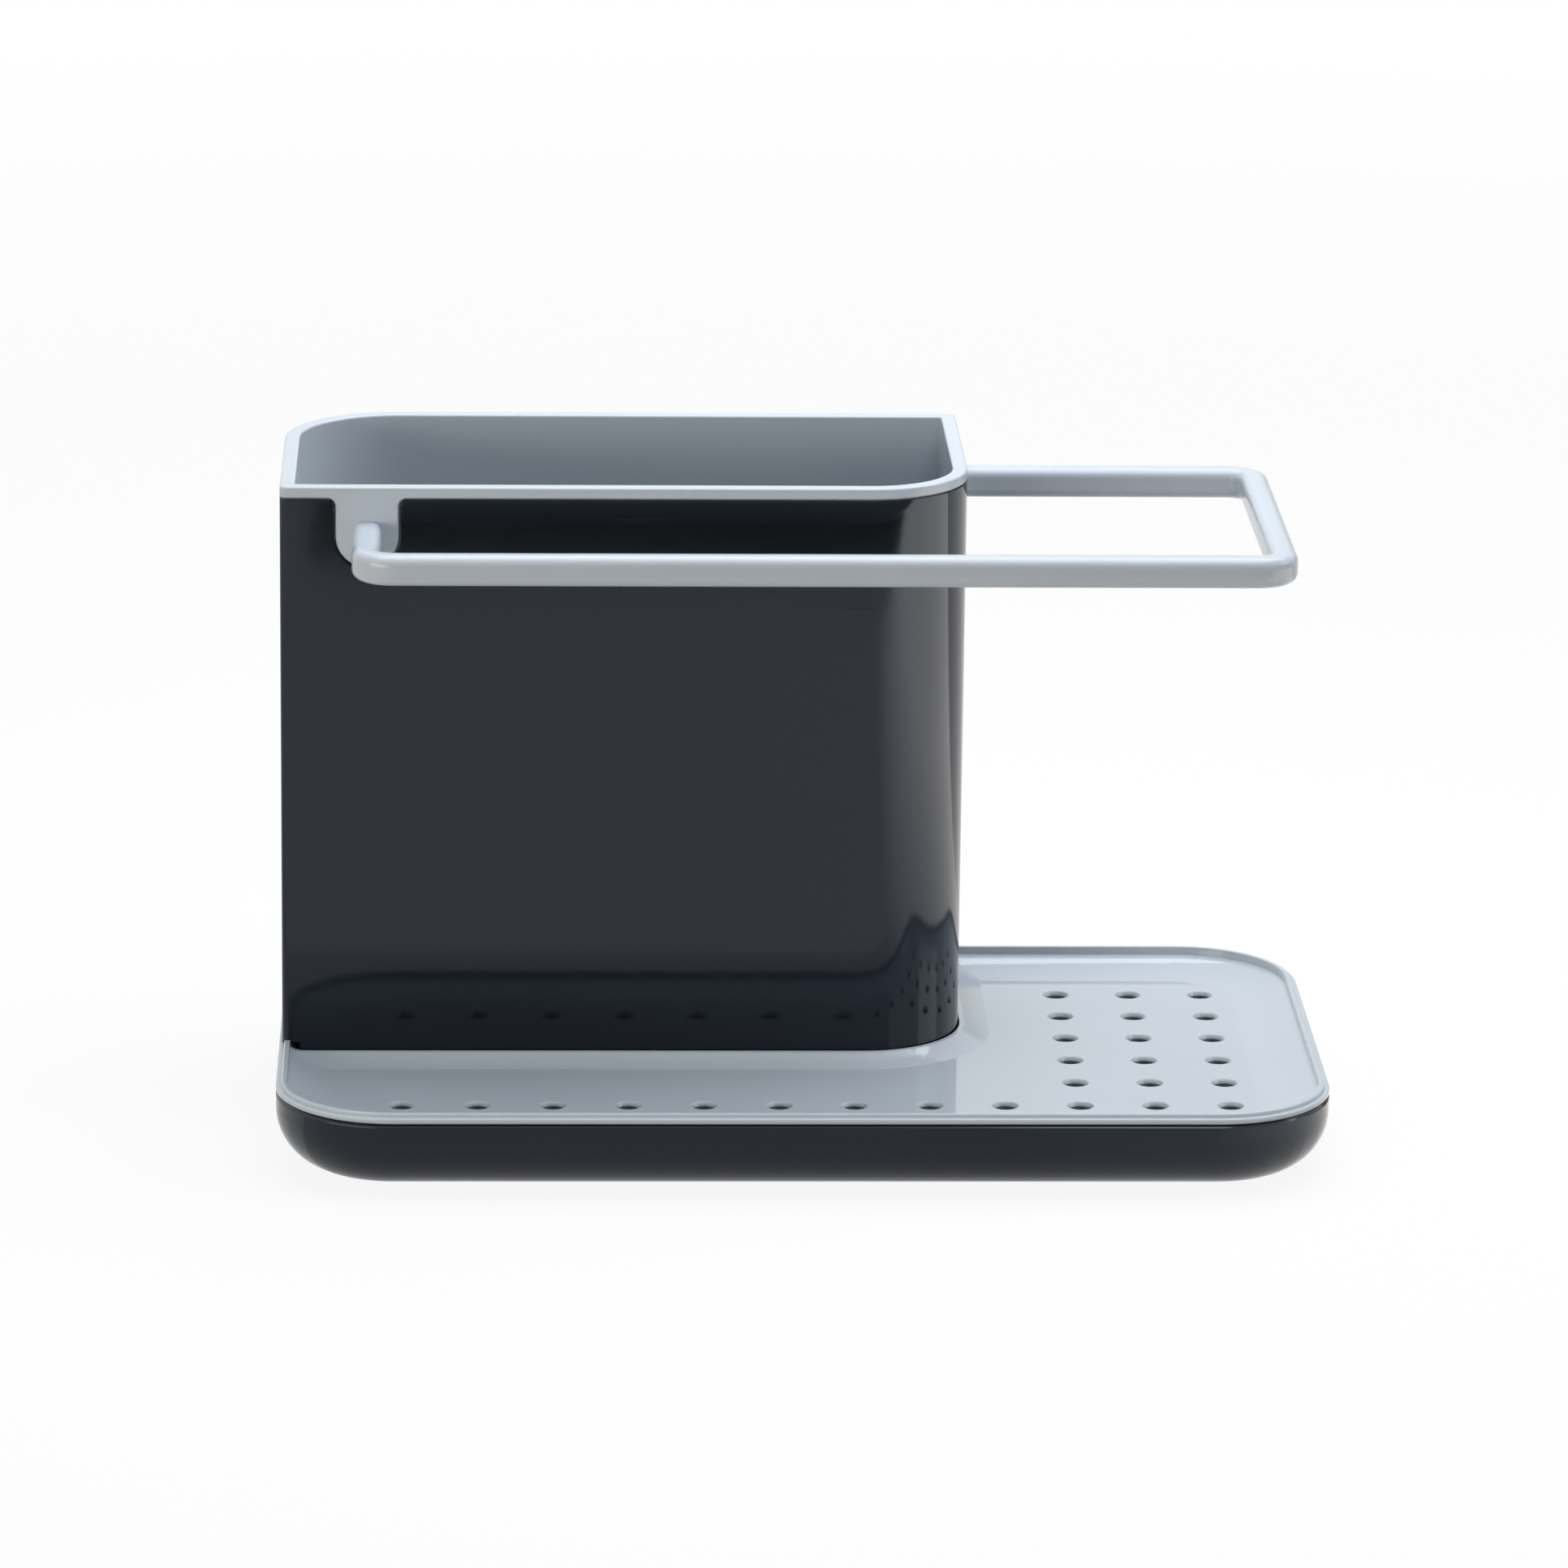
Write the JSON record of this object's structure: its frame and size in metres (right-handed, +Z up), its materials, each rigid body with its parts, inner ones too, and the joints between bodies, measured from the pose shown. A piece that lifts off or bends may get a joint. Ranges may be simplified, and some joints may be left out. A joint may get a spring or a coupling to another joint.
{
  "type": "sink caddy",
  "caption": "Kitchen sink caddy: shallow drained tray over a water tub, a tall brush pot with a lift-off rim, and a bent rail for a dishcloth.",
  "frame": {"origin": "on the worktop under the middle of the tray, level with the undersides of the feet", "axes": "+X along the tray from the pot to the sponge end, +Y from the user to the back, +Z up"},
  "size_m": [0.21, 0.1172, 0.1323],
  "materials": {
    "charcoal_plastic": "glossy moulded, near black",
    "grey_plastic": "glossy moulded, light cool grey",
    "foot_rubber": "matt soft pads"
  },
  "bodies": {
    "base": {"base_tub": "charcoal_plastic", "foot_front_left": "foot_rubber", "foot_front_right": "foot_rubber", "foot_rear_left": "foot_rubber", "foot_rear_right": "foot_rubber"},
    "plate": {"drip_plate": "grey_plastic"},
    "pot": {"brush_pot": "charcoal_plastic"},
    "frame": {"rim_frame": "grey_plastic", "cloth_rail": "grey_plastic"}
  },
  "joints": [
    {"name": "plate_lift", "type": "slide", "parent": "base", "child": "plate", "axis": [0, 0, 1], "range_m": [0, 0.04]},
    {"name": "pot_lift", "type": "slide", "parent": "plate", "child": "pot", "axis": [0, 0, 1], "range_m": [0, 0.04]},
    {"name": "frame_lift", "type": "slide", "parent": "pot", "child": "frame", "axis": [0, 0, 1], "range_m": [0, 0.05]}
  ]
}
